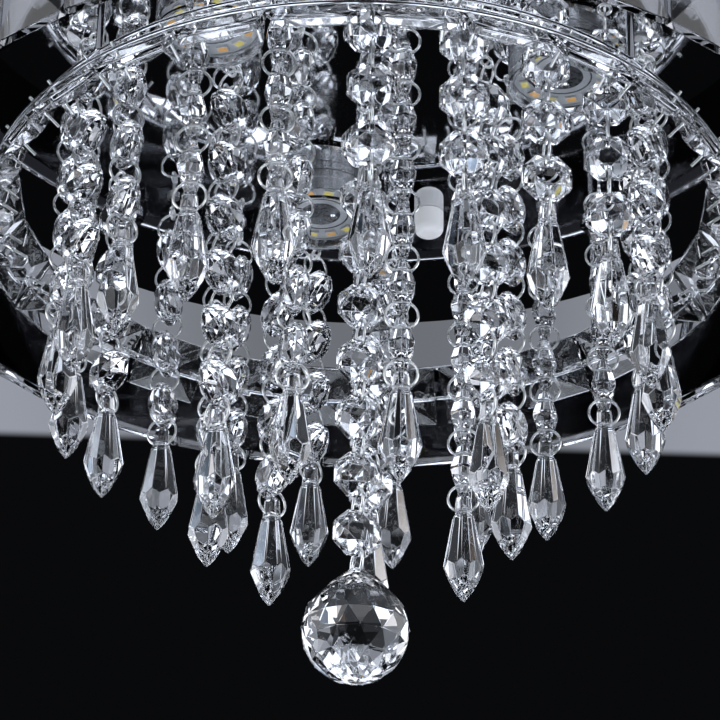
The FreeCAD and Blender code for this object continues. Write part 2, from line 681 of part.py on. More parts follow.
def hang(chain, glass, hole_above, hole_below, seat):
    """Adds a ring and the glass that hangs in it, and gives the height of the next ring's top."""
    chain["solids"].append(moved(JUMP_RING, 0, 0, chain["top"] - size("ring_radius")))
    hole = chain["top"] - 2 * size("ring_radius") + seat
    chain["solids"].append(moved(glass, 0, 0, hole - hole_above))
    chain["top"] = hole - hole_above + hole_below + seat


def threaded(bead, half_thickness, total):
    chain = {"solids": [], "top": 0.0}
    for _ in range(total):
        hang(chain, bead, size("bead_pitch") / 2, -size("bead_pitch") / 2, ring_seat(half_thickness))
    return chain


def hook():
    """A small screw eye; the ring's wire rests at the origin, and the collar meets the pan."""
    eye = size("hook_eye") + size("hook_wire")
    middle = size("hook_eye") - size("link_gap") - size("ring_wire")
    loop = Part.makeTorus(eye, size("hook_wire"), FreeCAD.Vector(0, 0, middle), FreeCAD.Vector(0, 1, 0))
    stem_foot = FreeCAD.Vector(0, 0, middle + eye)
    stem = Part.makeCylinder(size("hook_wire"), size("hook_stem"), stem_foot)
    collar_foot = FreeCAD.Vector(0, 0, middle + eye + size("hook_stem"))
    collar = Part.makeCylinder(size("hook_collar_radius"), size("hook_collar_height"), collar_foot)
    return loop.fuse([stem, collar]).removeSplitter()


def hook_length():
    eye = 2 * size("hook_eye") + size("hook_wire")
    return eye - size("link_gap") - size("ring_wire") + size("hook_stem") + size("hook_collar_height")


def at_strand(shape, circle, angle, turn):
    """Moves a shape drawn about a strand's hook to its place under the pan."""
    seat = flat_seat(circle, size("hook_collar_radius")) - hook_length()
    turned_shape = shape.rotated(ORIGIN, UP, turn - angle)
    return moved(turned_shape, 0, -circle, seat).rotated(ORIGIN, UP, angle)


def strand(label, chain, circle, angle, turn, hooks):
    solids = [at_strand(solid, circle, angle, turn) for solid in chain["solids"]]
    group(label, solids)
    hooks.append(at_strand(hook(), circle, angle, turn))


def tier(name, spindles, turns, hooks):
    circle = size(name + "_circle")
    total = count(name + "_strands")
    beads = count(name + "_beads")
    for index in range(total):
        if index in spindles:
            chain = threaded(SPINDLE, spindle_half_thickness(), beads)
        else:
            chain = threaded(OCTAGON, octagon_half_thickness(), beads)
        hang(chain, DROP, 0.0, 0.0, ring_seat(size("drop_neck_depth") / 2))
        angle = size(name + "_phase") + 360.0 * index / total
        strand("%s_strand_%02d" % (name, index + 1), chain, circle, angle, turns[index % len(turns)], hooks)


def strands():
    hooks = []
    tier("outer", OUTER_SPINDLES, OUTER_TURNS, hooks)
    tier("middle", MIDDLE_SPINDLES, MIDDLE_TURNS, hooks)
    chain = threaded(OCTAGON, octagon_half_thickness(), count("centre_beads"))
    hang(chain, BALL, size("ball_hole_height"), 0.0, ring_seat(size("ball_neck_radius")))
    crystal_ball = chain["solids"].pop()
    strand("centre_strand", chain, 0.0, 0.0, CENTRE_TURN, hooks)
    group("crystal_ball", [at_strand(crystal_ball, 0.0, 0.0, CENTRE_TURN)])
    group("strand_hooks", hooks)


JUMP_RING = Part.makeTorus(size("ring_radius"), size("ring_wire"), ORIGIN, FreeCAD.Vector(1, 0, 0))
OCTAGON = octagon_bead()
SPINDLE = spindle_bead()
DROP = drop()
BALL = ball()

base_pan()
mounting_bracket()
fixing_studs()
stud_caps()
led_driver()
terminal_block()
led_spots()
inner_ring()
outer_ring()
strands()
doc.recompute()

SINGLE_NODES = (
    "base_pan", "mounting_bracket", "fixing_studs", "stud_caps", "led_driver", "terminal_block",
    "led_housings", "led_boards", "led_chips_cool", "led_chips_warm", "led_lenses",
    "inner_ring_frame", "inner_ring_crystals", "inner_ring_pins",
    "outer_ring_band", "outer_ring_crystals", "outer_ring_posts",
    "strand_hooks", "centre_strand", "crystal_ball",
)
nodes = list(SINGLE_NODES)
for tier_name in ("outer", "middle"):
    for number in range(count(tier_name + "_strands")):
        nodes.append("%s_strand_%02d" % (tier_name, number + 1))

for item in doc.Objects:
    if "Invalid" in item.State or "Error" in item.State:
        raise RuntimeError("%s failed to build" % item.Label)
pieces = []
for node in nodes:
    piece = doc.getObjectsByLabel(node)[0]
    if piece.Shape.isNull() or not piece.Shape.isValid():
        raise RuntimeError("%s has no valid shape" % node)
    pieces.append(piece)

os.makedirs("parts", exist_ok=True)
for piece in pieces:
    piece.Shape.exportStep("parts/%s.step" % piece.Label)
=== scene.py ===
# Crystal flush mount ceiling light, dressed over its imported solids.
# Metres in the row frame: +Z up into the ceiling, -Y towards the photograph's camera.

import json
import math
import random
from collections import namedtuple

import bmesh
import bpy
from mathutils import Matrix, Vector


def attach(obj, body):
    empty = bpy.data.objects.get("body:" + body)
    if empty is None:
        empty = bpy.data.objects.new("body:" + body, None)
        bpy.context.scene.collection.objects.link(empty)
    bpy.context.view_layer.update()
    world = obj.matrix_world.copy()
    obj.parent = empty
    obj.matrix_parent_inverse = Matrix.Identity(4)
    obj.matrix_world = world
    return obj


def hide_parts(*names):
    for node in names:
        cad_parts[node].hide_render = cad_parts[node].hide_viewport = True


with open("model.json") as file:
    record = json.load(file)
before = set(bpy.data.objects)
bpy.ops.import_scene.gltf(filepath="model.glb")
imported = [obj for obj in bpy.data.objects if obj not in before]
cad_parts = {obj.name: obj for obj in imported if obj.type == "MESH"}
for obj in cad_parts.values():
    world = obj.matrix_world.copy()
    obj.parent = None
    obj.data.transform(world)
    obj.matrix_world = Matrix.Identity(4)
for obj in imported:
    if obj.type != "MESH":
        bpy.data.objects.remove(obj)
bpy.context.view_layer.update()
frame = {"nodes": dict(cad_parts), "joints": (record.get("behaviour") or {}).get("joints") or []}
nodes = frame["nodes"]
MM = 0.001

# Sizes that agree with the part's source, in millimetres and degrees.
PAN_RADIUS = 143.5
LED_COUNT = 3
LED_CIRCLE = 62.5
LED_ANGLE = 72.5
BOARD_RADIUS = 14.85
BOARD_THICKNESS = 1.6
CHIP_PAIRS = 6
CHIP_CIRCLE = 11.6
CHIP_LENGTH = 3.5
CHIP_WIDTH = 2.8
CHIP_HEIGHT = 0.8
BLOCK_GAP = 0.6
BLOCK_TABLE = 0.12
INNER_COUNT = 26
INNER_RADIUS = 100.0
INNER_DROP = 68.2
INNER_TILT = 36.0
INNER_BLOCK_HEIGHT = 18.5
PIN_INSET = 3.4
PIN_HOLE = 0.7
OUTER_COUNT = 36
OUTER_RADIUS = 138.8
OUTER_BACK = 140.15
OUTER_BOTTOM = 79.5
OUTER_BLOCK_HEIGHT = 32.0
OUTER_BLOCK_DEPTH = 6.4
OUTER_CUT_DEPTH = 3.6
OUTER_BLOCK_HANG = 1.4
RING_RADIUS = 4.65
RING_WIRE = 0.4
RING_GAP = 0.12
BEAD_HOLE = 0.9
BEAD_PITCH = 10.2
OCTAGON_WIDTH = 14.0
OCTAGON_TABLE = 7.6
OCTAGON_THICKNESS = 7.2
OCTAGON_GIRDLE = 1.8
SPINDLE_LENGTH = 17.6
SPINDLE_WIDTH = 7.4
SPINDLE_TIP = 3.2
DROP_NECK = 5.8
DROP_NECK_DEPTH = 3.9
DROP_SHOULDER = 1.6
DROP_SHOULDER_WIDTH = 6.0
DROP_WIDTH = 11.6
DROP_BELLY = 18.6
DROP_POINT = 29.8
BALL_NECK_RADIUS = 2.3
BALL_HOLE_HEIGHT = 16.8
OUTER_BEADS = 4
MIDDLE_BEADS = 6
CENTRE_BEADS = 8
OUTER_SPINDLES = (7, 8, 19, 20)
MIDDLE_SPINDLES = (0, 3)
OUTER_TURNS = (4, -6, 8, -4, 52, 68, 40, 88, 80, 35, 62, -48, -66, 74, -38, -58, -72, -46, -62, 84, 96)
MIDDLE_TURNS = (90, 24, 60, 82, -30, -55, 70, 48, -76)
CENTRE_TURN = 18

# Sizes of the finer cuts that only the scene has, or that it has a little slimmer or fuller than the solids.
INNER_BLOCK_DEPTH = 5.6
INNER_CUT_DEPTH = 3.2
OCTAGON_STAR_REACH = 5.5
SPINDLE_END_SHARE = 0.8
SPINDLE_TIP_LEVEL = 0.465
SPINDLE_BELT_LEVEL = 0.025
DROP_TOP_WIDTH, DROP_TOP_EDGE = 3.4, 0.5
DROP_NECK_WIDTH = 4.2
DROP_FLARE_WIDTH, DROP_FLARE = 5.1, 0.9
DROP_GROOVE_WIDTH, DROP_GROOVE = 4.9, 0.5
DROP_KITE_POINT = 32.5
DROP_TIP_SLOPE = 0.72
BALL_SIDES = 14
BALL_RADIUS = 15.5
BALL_ROWS = (24, 3, -18, -39, -59, -76)
BALL_CROWN = ((2.1, 18.8), (8.7, 12.7))

# Widths of the polished edges.
OCTAGON_EDGE = 0.1
SPINDLE_EDGE = 0.12
DROP_EDGE = 0.18
BALL_EDGE = 0.08
BLOCK_EDGE = 0.35
DISC_EDGE = 0.15


# Shader maths.

MIX_FACTOR, MIX_FIRST, MIX_SECOND, MIX_RESULT = 0, 6, 7, 2  # places of a Mix node's colour sockets


def plug(tree, socket, value):
    if isinstance(value, Flow):
        tree.links.new(value.socket, socket)
    else:
        socket.default_value = value


def computed(tree, operation, *values):
    node = tree.nodes.new("ShaderNodeMath")
    node.operation = operation
    for socket, value in zip(node.inputs, values):
        plug(tree, socket, value)
    return Flow(tree, node.outputs[0])


class Flow:
    """A value on its way through a node tree, with arithmetic."""

    def __init__(self, tree, socket):
        self.tree = tree
        self.socket = socket

    def math(self, operation, *others):
        return computed(self.tree, operation, self, *others)

    def __add__(self, other):
        return self.math("ADD", other)

    def __sub__(self, other):
        return self.math("SUBTRACT", other)

    def __rsub__(self, other):
        return computed(self.tree, "SUBTRACT", other, self)

    def __mul__(self, other):
        return self.math("MULTIPLY", other)


class Tree:
    """A material's or the world's nodes."""

    def __init__(self, node_tree):
        self.tree = node_tree
        self.tree.nodes.clear()

    def add(self, kind, settings=None, sockets=None, output=0):
        """One node: its settings first, then the values or links of its sockets."""
        node = self.tree.nodes.new("ShaderNode" + kind)
        for name, value in (settings or {}).items():
            setattr(node, name, value)
        for name, value in (sockets or {}).items():
            plug(self.tree, node.inputs[name], value)
        return Flow(self.tree, node.outputs[output])

    def principled(self, sockets):
        return self.add("BsdfPrincipled", None, sockets)

    def noise(self, scale, detail=3.0, roughness=0.5):
        sockets = {"Vector": self.place(), "Scale": scale, "Detail": detail, "Roughness": roughness}
        return self.add("TexNoise", None, sockets, output="Fac")

    def place(self):
        return self.add("TexCoord", output="Object")

    def span(self, value, low, high, to_low, to_high, smooth=False):
        """The value carried from one range to another."""
        settings = {"interpolation_type": "SMOOTHSTEP"} if smooth else None
        sockets = {"Value": value, "From Min": low, "From Max": high, "To Min": to_low, "To Max": to_high}
        return self.add("MapRange", settings, sockets)

    def mixed(self, factor, first, second, kind="MIX"):
        """Two colours mixed, or multiplied."""
        node = self.tree.nodes.new("ShaderNodeMix")
        node.data_type = "RGBA"
        node.blend_type = kind
        for place, value in ((MIX_FACTOR, factor), (MIX_FIRST, first), (MIX_SECOND, second)):
            plug(self.tree, node.inputs[place], value)
        return Flow(self.tree, node.outputs[MIX_RESULT])

    def clouds(self, scale, low, high):
        """Soft noise from 0 to 1."""
        return self.span(self.noise(scale), low, high, 0.0, 1.0)

    def axes(self, place):
        """The three parts of a place or direction."""
        node = self.tree.nodes.new("ShaderNodeSeparateXYZ")
        plug(self.tree, node.inputs[0], place)
        return [Flow(self.tree, output) for output in node.outputs]

    def ray(self, kind):
        return self.add("LightPath", output=kind)

    def bump(self, height, strength, distance):
        return self.add("Bump", None, {"Height": height, "Strength": strength, "Distance": distance})

    def surface(self, shader, world=False):
        kind = "ShaderNodeOutputWorld" if world else "ShaderNodeOutputMaterial"
        node = self.tree.nodes.new(kind)
        self.tree.links.new(shader.socket, node.inputs["Surface"])


def finish_named(name, build):
    """A material whose surface comes from build, a function of its nodes."""
    material = bpy.data.materials.new(name)
    material.use_nodes = True
    tree = Tree(material.node_tree)
    tree.surface(build(tree))
    return material


def rgb(red, green, blue):
    return (red, green, blue, 1.0)


def grey(level):
    return rgb(level, level, level)


# Finishes.

# The part of a noise's range that a finish spreads out.
CRYSTAL_SPAN = (0.45, 0.75)
ACRYLIC_SPAN = (0.4, 0.8)
HAZE_SPAN = (0.35, 0.75)
PLATE_SPAN = (0.4, 0.7)
PLASTIC_SPAN = (0.3, 0.7)
BLOTCH_TOP = 0.7

PHOSPHOR_SHADE = 0.86
BAND_COAT_START, BAND_COAT_END = 0.3, 0.9


def cut_crystal(tree):
    """Clear lead crystal: bright, with the faintest polish haze and a moulded waviness."""
    haze = tree.span(tree.noise(180.0), *CRYSTAL_SPAN, 0.0, 0.01)
    wave = tree.bump(tree.noise(420.0, detail=2.0), strength=0.006, distance=0.0002)
    return tree.principled({"Base Color": rgb(0.985, 0.99, 1.0), "Roughness": haze, "IOR": 1.55,
                            "Transmission Weight": 1.0, "Normal": wave})


def clear_acrylic(tree):
    haze = tree.span(tree.noise(120.0), *ACRYLIC_SPAN, 0.01, 0.05)
    return tree.principled({"Base Color": rgb(0.96, 0.97, 0.98), "Roughness": haze, "IOR": 1.49,
                            "Transmission Weight": 1.0})


def mirror_steel(tree):
    """Mirror-polished stainless sheet with a trace of polishing haze and sheet waviness."""
    haze = tree.span(tree.noise(35.0, detail=5.0, roughness=0.6), *HAZE_SPAN, 0.015, 0.07)
    wave = tree.bump(tree.noise(14.0, detail=2.0), strength=0.05, distance=0.002)
    return tree.principled({"Base Color": rgb(0.70, 0.71, 0.73), "Metallic": 1.0, "Roughness": haze,
                            "Normal": wave})


def band_steel(tree):
    """Polished band, coated dark on its inside, as the photograph shows it."""
    x, y, _ = tree.axes(tree.place())
    reach = (x * x + y * y).math("SQRT")
    coat_start, coat_end = OUTER_RADIUS + BAND_COAT_START, OUTER_RADIUS + BAND_COAT_END
    inside = tree.span(reach, coat_start * MM, coat_end * MM, 1.0, 0.0)
    cloud = tree.span(tree.noise(35.0, detail=5.0, roughness=0.6), *HAZE_SPAN, 0.0, 1.0)
    bright = tree.mixed(cloud, rgb(0.72, 0.73, 0.75), rgb(0.78, 0.79, 0.81))
    return tree.principled({"Base Color": tree.mixed(inside, bright, rgb(0.05, 0.05, 0.055)),
                            "Metallic": 1.0, "Roughness": tree.span(cloud, 0.0, 1.0, 0.05, 0.08)})


def plated(dark, light, cloud_scale, haze_scale, smoothest, dullest):
    """Plated metal whose tone and polish vary a little."""
    def build(tree):
        haze = tree.span(tree.noise(haze_scale, detail=4.0), *HAZE_SPAN, smoothest, dullest)
        tone = tree.mixed(tree.clouds(cloud_scale, *PLATE_SPAN), dark, light)
        return tree.principled({"Base Color": tone, "Metallic": 1.0, "Roughness": haze})
    return build


def zinc_plate(tree):
    """Zinc with the spangle of hot-dipped sheet."""
    spangle = tree.add("TexVoronoi", {"feature": "F1"}, {"Vector": tree.place(), "Scale": 160.0},
                       output="Color")
    level = tree.add("SeparateColor", None, {"Color": spangle})
    tone = tree.mixed(level, rgb(0.52, 0.53, 0.55), rgb(0.68, 0.69, 0.7))
    return tree.principled({"Base Color": tone, "Metallic": 1.0,
                            "Roughness": tree.span(level, 0.0, 1.0, 0.28, 0.42)})


def plastic(dark, light, cloud_scale, roughness, painted_glow=None, grain=None, subsurface=None):
    """Moulded plastic; grain gives the scale, strength and depth of a fine texture."""
    def build(tree):
        tone = tree.mixed(tree.clouds(cloud_scale, *PLASTIC_SPAN), dark, light)
        sockets = {"Base Color": tone, "Roughness": roughness}
        if grain:
            scale, strength, depth = grain
            sockets["Normal"] = tree.bump(tree.noise(scale, detail=2.0), strength, depth)
        # Painted light: a glow, if given, makes the plastic glow a little in its own colour, though it is no
        # lamp.
        if painted_glow:
            sockets.update({"Emission Color": tone, "Emission Strength": painted_glow})
        if subsurface:
            sockets["Subsurface Weight"] = subsurface
        return tree.principled(sockets)
    return build


def phosphor(red, green, blue):
    """Phosphor of an LED, with a painted glow so that it reads as yellow in its shaded cup."""
    dark = rgb(*(channel * PHOSPHOR_SHADE for channel in (red, green, blue)))
    return plastic(dark, rgb(red, green, blue), cloud_scale=900.0, roughness=0.35, painted_glow=0.3)


def board_coat(dark, light, scale, low, smoothest, dullest):
    """Coat of an LED board, blotchy in tone and polish."""
    def build(tree):
        blotch = tree.clouds(scale, low, BLOTCH_TOP)
        return tree.principled({"Base Color": tree.mixed(blotch, dark, light),
                                "Roughness": tree.span(blotch, 0.0, 1.0, smoothest, dullest)})
    return build


CRYSTAL = finish_named("cut_crystal", cut_crystal)
ACRYLIC = finish_named("clear_acrylic", clear_acrylic)
MIRROR = finish_named("mirror_steel", mirror_steel)
BAND = finish_named("band_steel", band_steel)
CHROME = finish_named("bright_chrome", plated(
    rgb(0.74, 0.75, 0.77), rgb(0.82, 0.82, 0.83), cloud_scale=60.0, haze_scale=160.0,
    smoothest=0.03, dullest=0.12))
SATIN = finish_named("satin_chrome", plated(
    rgb(0.78, 0.79, 0.81), rgb(0.86, 0.86, 0.87), cloud_scale=50.0, haze_scale=110.0,
    smoothest=0.2, dullest=0.3))
WIRE = finish_named("jump_ring_wire", plated(
    rgb(0.86, 0.86, 0.85), rgb(0.93, 0.93, 0.92), cloud_scale=150.0, haze_scale=400.0,
    smoothest=0.24, dullest=0.36))
ZINC = finish_named("zinc_plate", zinc_plate)
# The caps get a painted glow: painted light that brightens them in the shade under the pan, though they are
# no lamp.
CAP_WHITE = finish_named("white_cap_plastic", plastic(
    rgb(0.86, 0.87, 0.88), rgb(0.91, 0.91, 0.92), cloud_scale=90.0, roughness=0.32, painted_glow=0.2,
    grain=(1500.0, 0.05, 0.0001)))
DRIVER = finish_named("driver_plastic", plastic(
    rgb(0.78, 0.78, 0.75), rgb(0.84, 0.84, 0.82), cloud_scale=30.0, roughness=0.55,
    grain=(1200.0, 0.25, 0.0002)))
NYLON = finish_named("terminal_nylon", plastic(
    rgb(0.74, 0.73, 0.68), rgb(0.82, 0.81, 0.77), cloud_scale=200.0, roughness=0.5, subsurface=0.2))
BOARD = finish_named("solder_mask", board_coat(
    rgb(0.66, 0.67, 0.68), rgb(0.76, 0.77, 0.78), scale=240.0, low=0.35, smoothest=0.3, dullest=0.45))
COOL = finish_named("phosphor_cool", phosphor(0.86, 0.74, 0.2))
WARM = finish_named("phosphor_warm", phosphor(0.9, 0.5, 0.16))
PACKAGE = finish_named("package_white", plastic(grey(0.78), grey(0.86), cloud_scale=600.0, roughness=0.4))
PAD = finish_named("graphite_pad", board_coat(
    rgb(0.05, 0.052, 0.058), rgb(0.1, 0.1, 0.105), scale=700.0, low=0.4, smoothest=0.25, dullest=0.4))

NODE_FINISH = {
    "base_pan": MIRROR, "outer_ring_band": BAND, "mounting_bracket": ZINC, "fixing_studs": ZINC,
    "stud_caps": CAP_WHITE, "led_driver": DRIVER, "terminal_block": NYLON, "led_housings": SATIN,
    "led_lenses": ACRYLIC, "inner_ring_frame": CHROME, "inner_ring_pins": WIRE, "outer_ring_posts": CHROME,
    "strand_hooks": WIRE,
}
for node, material in NODE_FINISH.items():
    mesh = nodes[node].data
    mesh.materials.clear()
    mesh.materials.append(material)


# Mesh building. Shapes are lists of corners, in millimetres, of faces, and of which faces are shaded round.

ALONG_Y, ALONG_Z = Vector((0, 1, 0)), Vector((0, 0, 1))
SHARP_ANGLE = math.radians(6)
HOLE_REACH = 20.0
HOLE_SIDES = 14
SAME_DIGITS = 4


def ring_points(sides, reach, height, offset=0.0):
    points = []
    for index in range(sides):
        turn = 2 * math.pi * (index + offset) / sides
        points.append(Vector((reach * math.cos(turn), reach * math.sin(turn), height)))
    return points


def rectangle(length, width, height):
    x, y = length / 2, width / 2
    return [Vector((along * x, across * y, height)) for along, across in ((1, 1), (-1, 1), (-1, -1), (1, -1))]


def mesh_of(name, shape, materials):
    corners, faces, soft = shape
    mesh = bpy.data.meshes.new(name)
    mesh.from_pydata([tuple(corner * MM) for corner in corners], [], faces)
    for material in materials:
        mesh.materials.append(material)
    mesh.polygons.foreach_set("use_smooth", soft)
    set_outward(mesh)
    return mesh


def set_outward(mesh):
    work = bmesh.new()
    work.from_mesh(mesh)
    bmesh.ops.recalc_face_normals(work, faces=work.faces)
    work.to_mesh(mesh)
    work.free()
    mesh.update()


def shape_of(mesh):
    corners = [vertex.co / MM for vertex in mesh.vertices]
    faces = [list(face.vertices) for face in mesh.polygons]
    return corners, faces, [face.use_smooth for face in mesh.polygons]


def eased(shape, width):
    """The shape with its sharp edges polished to narrow rounded strips."""
    mesh = mesh_of("eased", shape, [])
    work = bmesh.new()
    work.from_mesh(mesh)
    sharp = [edge for edge in work.edges if edge.calc_face_angle(0.0) > SHARP_ANGLE]
    made = bmesh.ops.bevel(work, geom=sharp, offset=width * MM, offset_type="OFFSET", segments=2, profile=0.5,
                           affect="EDGES", clamp_overlap=True)
    for face in made["faces"]:
        face.smooth = True
    work.to_mesh(mesh)
    work.free()
    mesh.update()
    return shape_of(mesh)


def drilled(shape, holes, along):
    """The shape with round holes along an axis, each given by its place and radius."""
    blank = bpy.data.objects.new("blank", mesh_of("blank", shape, []))
    bpy.context.scene.collection.objects.link(blank)
    cutters = []
    for place, radius in holes:
        ends = [[place + along * side * HOLE_REACH + swing for swing in around_axis(along, radius)]
                for side in (-1, 1)]
        cutter = bpy.data.objects.new("cutter", mesh_of("cutter", stone(stacked(ends)), []))
        bpy.context.scene.collection.objects.link(cutter)
        cut = blank.modifiers.new("hole", "BOOLEAN")
        cut.operation = "DIFFERENCE"
        cut.solver = "EXACT"
        cut.object = cutter
        cutters.append(cutter)
    bpy.context.view_layer.update()
    result = bpy.data.meshes.new_from_object(blank.evaluated_get(bpy.context.evaluated_depsgraph_get()))
    for piece in cutters + [blank]:
        bpy.data.objects.remove(piece)
    return shape_of(result)


def around_axis(along, radius):
    """Points of a small circle across an axis."""
    first = along.orthogonal().normalized()
    second = along.cross(first)
    return [first * point.x + second * point.y for point in ring_points(HOLE_SIDES, radius, 0.0)]


def stone(facets):
    """The shape of a cut stone from facets given as lists of points."""
    corners, faces, seen = [], [], {}
    for facet in facets:
        face = []
        for point in facet:
            key = tuple(round(value, SAME_DIGITS) for value in point)
            if key not in seen:
                seen[key] = len(corners)
                corners.append(Vector(point))
            face.append(seen[key])
        faces.append(face)
    return corners, faces, [False] * len(faces)


def walls(upper, lower):
    """Facets between two rings of corners."""
    facets = []
    for index in range(len(upper)):
        after = (index + 1) % len(upper)
        facets.append([upper[index], upper[after], lower[after], lower[index]])
    return facets


def stacked(rings):
    """Facets between rings of corners, after those that close the first and the last ring."""
    facets = [rings[0], rings[-1]]
    for upper, lower in zip(rings, rings[1:]):
        facets.extend(walls(upper, lower))
    return facets


# Cut glass of the strands.

def bead_holes(*heights):
    return [(Vector((0, 0, height)), BEAD_HOLE) for height in heights]


def octagon_bead():
    """Octagon bead: table, eight stars, eight kites and eight rim triangles on each face."""
    sides = 8
    narrow = math.cos(math.pi / sides)
    table_reach = OCTAGON_TABLE / 2 / narrow
    rim_reach = OCTAGON_WIDTH / 2 / narrow
    high, low = OCTAGON_THICKNESS / 2, OCTAGON_GIRDLE / 2
    slope = (high - low) / (rim_reach - table_reach)
    star_height = high - (OCTAGON_STAR_REACH * narrow - table_reach) * slope
    facets = []
    for side in (1, -1):
        table = ring_points(sides, table_reach, side * high, 0.5)
        stars = ring_points(sides, OCTAGON_STAR_REACH, side * star_height)
        rim = ring_points(sides, rim_reach, side * low, 0.5)
        facets.append(table)
        for index in range(sides):
            after = (index + 1) % sides
            facets.append([table[index - 1], table[index], stars[index]])
            facets.append([table[index], stars[after], rim[index], stars[index]])
            facets.append([stars[index], rim[index - 1], rim[index]])
    facets.extend(walls(ring_points(sides, rim_reach, low, 0.5), ring_points(sides, rim_reach, -low, 0.5)))
    upright = [[Vector((p.x, p.z, p.y)) for p in facet] for facet in facets]
    holes = bead_holes(BEAD_PITCH / 2, -BEAD_PITCH / 2)
    return drilled(eased(stone(upright), OCTAGON_EDGE), holes, ALONG_Y)


def spindle_bead():
    """Long bead of twelve facets between cut-off tips."""
    sides = 6
    narrow = math.cos(math.pi / sides)
    upper = ((SPINDLE_TIP * SPINDLE_END_SHARE, 0.5), (SPINDLE_TIP, SPINDLE_TIP_LEVEL),
             (SPINDLE_WIDTH, SPINDLE_BELT_LEVEL))
    levels = upper + tuple((across, -share) for across, share in reversed(upper))
    rings = [ring_points(sides, across / 2 / narrow, share * SPINDLE_LENGTH) for across, share in levels]
    holes = bead_holes(BEAD_PITCH / 2, -BEAD_PITCH / 2)
    return drilled(eased(stone(stacked(rings)), SPINDLE_EDGE), holes, ALONG_Y)


def drop():
    """Long drop: neck, eight facets down to the belly, eight kites, and a blunter eight-sided tip."""
    sides = 8
    narrow = math.cos(math.pi / sides)
    top, belly, point, kite_point = -DROP_SHOULDER, -DROP_BELLY, -DROP_POINT, -DROP_KITE_POINT
    facet_slope = (DROP_WIDTH - DROP_SHOULDER_WIDTH) / 2 / (top - belly)
    kite_slope = DROP_WIDTH / 2 / (belly - kite_point)

    def kite_top(share):
        """Height where a long facet meets a kite, at a share of the facet's width."""
        height = DROP_SHOULDER_WIDTH / 2 + facet_slope * top + share * kite_slope * kite_point
        return height / (facet_slope + share * kite_slope)

    def kite_foot(share):
        """Height where a kite meets a tip facet, at a share of the kite's width."""
        slope = kite_slope / share
        return (slope * kite_point - DROP_TIP_SLOPE * point) / (slope - DROP_TIP_SLOPE)

    crest, valley = kite_top(narrow), kite_top(1 / narrow)
    edge, middle = kite_foot(narrow), kite_foot(1 / narrow)
    levels = ((DROP_TOP_WIDTH, DROP_NECK), (DROP_NECK_WIDTH, DROP_NECK - DROP_TOP_EDGE),
              (DROP_FLARE_WIDTH, top + DROP_FLARE), (DROP_GROOVE_WIDTH, top + DROP_GROOVE),
              (DROP_SHOULDER_WIDTH, top))
    rings = [ring_points(sides, across / 2 / narrow, height) for across, height in levels]
    crests = ring_points(sides, kite_slope * (crest - kite_point), crest)
    valleys = ring_points(sides, kite_slope * (valley - kite_point) / narrow, valley, 0.5)
    edges = ring_points(sides, kite_slope * (edge - kite_point) / narrow, edge, 0.5)
    middles = ring_points(sides, kite_slope * (middle - kite_point), middle)
    neck_top, _, *neck = stacked(rings)
    facets = [neck_top] + neck
    shoulder = rings[-1]
    tip = Vector((0, 0, point))
    for index in range(sides):
        after = (index + 1) % sides
        facets.append([shoulder[index], shoulder[after], crests[after], valleys[index], crests[index]])
        facets.append([crests[index], valleys[index], edges[index], middles[index], edges[index - 1],
                       valleys[index - 1]])
        facets.append([edges[index], middles[after], tip, middles[index]])
    return drilled(eased(stone(facets), DROP_EDGE), bead_holes(0.0), ALONG_Y)


def ball():
    """Ball cut in rows of triangles, each row turned by half a facet, under a conical crown."""
    levels = list(BALL_CROWN)
    for latitude in BALL_ROWS:
        level = math.radians(latitude)
        levels.append((BALL_RADIUS * math.cos(level), BALL_RADIUS * math.sin(level)))
    rows = [ring_points(BALL_SIDES, reach, height, 0.5 * (row % 2))
            for row, (reach, height) in enumerate(levels)]
    facets = [rows[0]]
    point = Vector((0, 0, -BALL_RADIUS))
    for index in range(BALL_SIDES):
        after = (index + 1) % BALL_SIDES
        facets.append([rows[-1][index], rows[-1][after], point])
    for row, (upper, lower) in enumerate(zip(rows, rows[1:])):
        for index in range(BALL_SIDES):
            after = (index + 1) % BALL_SIDES
            if row % 2 == 0:
                facets.append([upper[index], upper[after], lower[index]])
                facets.append([upper[after], lower[index], lower[after]])
            else:
                facets.append([upper[index], upper[after], lower[after]])
                facets.append([upper[index], lower[index], lower[after]])
    return drilled(eased(stone(facets), BALL_EDGE), bead_holes(BALL_HOLE_HEIGHT), ALONG_Y)


RING_STEPS, WIRE_SIDES = 40, 10
RING_CUT = math.radians(4.0)


def jump_ring(start_angle):
    """A wire ring with a fine cut, standing in the YZ plane about its middle."""
    corners, faces = [], []
    for step in range(RING_STEPS + 1):
        turn = start_angle + RING_CUT / 2 + (2 * math.pi - RING_CUT) * step / RING_STEPS
        outward = Vector((0, math.cos(turn), math.sin(turn)))
        for side in range(WIRE_SIDES):
            roll = 2 * math.pi * side / WIRE_SIDES
            reach = RING_RADIUS + RING_WIRE * math.cos(roll)
            corners.append(outward * reach + Vector((RING_WIRE * math.sin(roll), 0, 0)))
    for step in range(RING_STEPS):
        first, second = step * WIRE_SIDES, (step + 1) * WIRE_SIDES
        for side in range(WIRE_SIDES):
            after = (side + 1) % WIRE_SIDES
            faces.append([first + side, first + after, second + after, second + side])
    last = RING_STEPS * WIRE_SIDES
    faces.append(list(range(WIRE_SIDES)))
    faces.append(list(range(last + WIRE_SIDES - 1, last - 1, -1)))
    return corners, faces, [True] * len(faces)


class Heap:
    """Shapes gathered into one mesh."""

    def __init__(self):
        self.corners = []
        self.faces = []
        self.soft = []

    def put(self, shape, place):
        corners, faces, soft = shape
        start = len(self.corners)
        self.corners.extend(place @ corner for corner in corners)
        self.faces.extend([start + index for index in face] for face in faces)
        self.soft.extend(soft)

    def shape(self):
        return self.corners, self.faces, self.soft


def piece_from(name, heap, material, body, node):
    piece = bpy.data.objects.new(name, mesh_of(name, heap.shape(), [material]))
    bpy.context.scene.collection.objects.link(piece)
    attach(piece, body)
    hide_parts(node)


